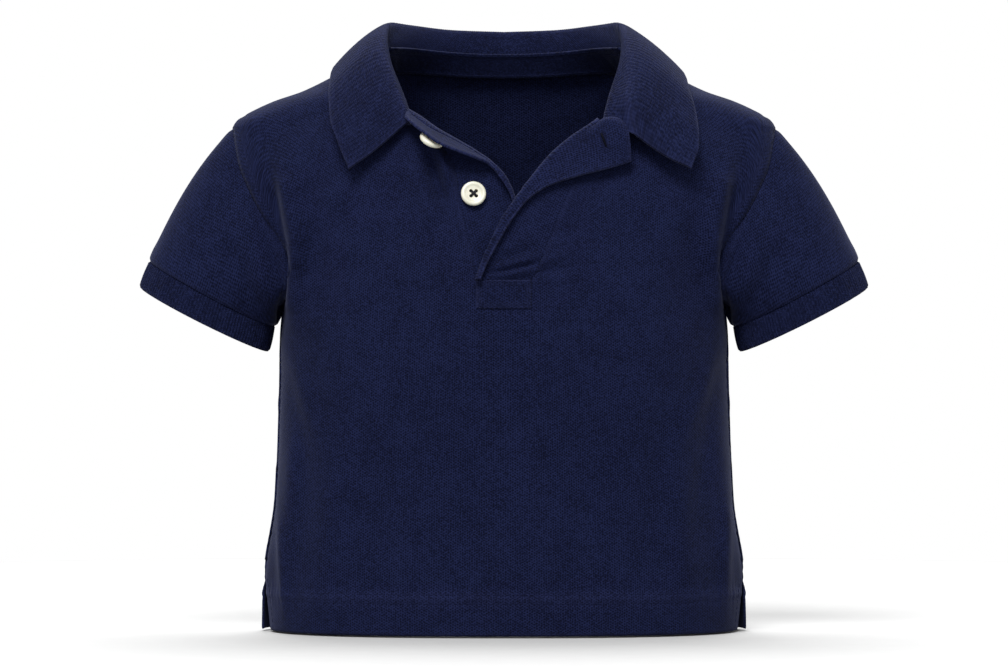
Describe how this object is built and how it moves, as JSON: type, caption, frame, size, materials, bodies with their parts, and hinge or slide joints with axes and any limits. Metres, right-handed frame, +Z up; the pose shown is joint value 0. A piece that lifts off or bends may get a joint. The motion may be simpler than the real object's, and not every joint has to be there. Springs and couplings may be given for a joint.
{
  "type": "polo shirt",
  "caption": "Baby's short-sleeved pique polo shirt, hollow and filled out as if worn, with a rib collar and cuffs, open buttoned placket and side vents.",
  "frame": {"origin": "middle of the neck base, level with the high points of the shoulders", "axes": "+X to the wearer's left, -Y to the front, +Z up"},
  "size_m": [0.3338, 0.1242, 0.2793],
  "materials": {
    "pique": "washed navy cotton pique knit",
    "rib": "navy flat-knit rib",
    "tape": "navy jersey tape",
    "button": "cream four-hole button, satin"
  },
  "bodies": {
    "root": {"front": "pique", "back": "pique", "sleeve_left": "pique", "sleeve_right": "pique", "placket_button": "pique", "placket_buttonhole": "pique", "placket_box": "pique", "cuff_left": "rib", "cuff_right": "rib", "collar": "rib", "neck_tape": "tape", "button_lower": "button", "button_upper": "button"}
  },
  "joints": []
}
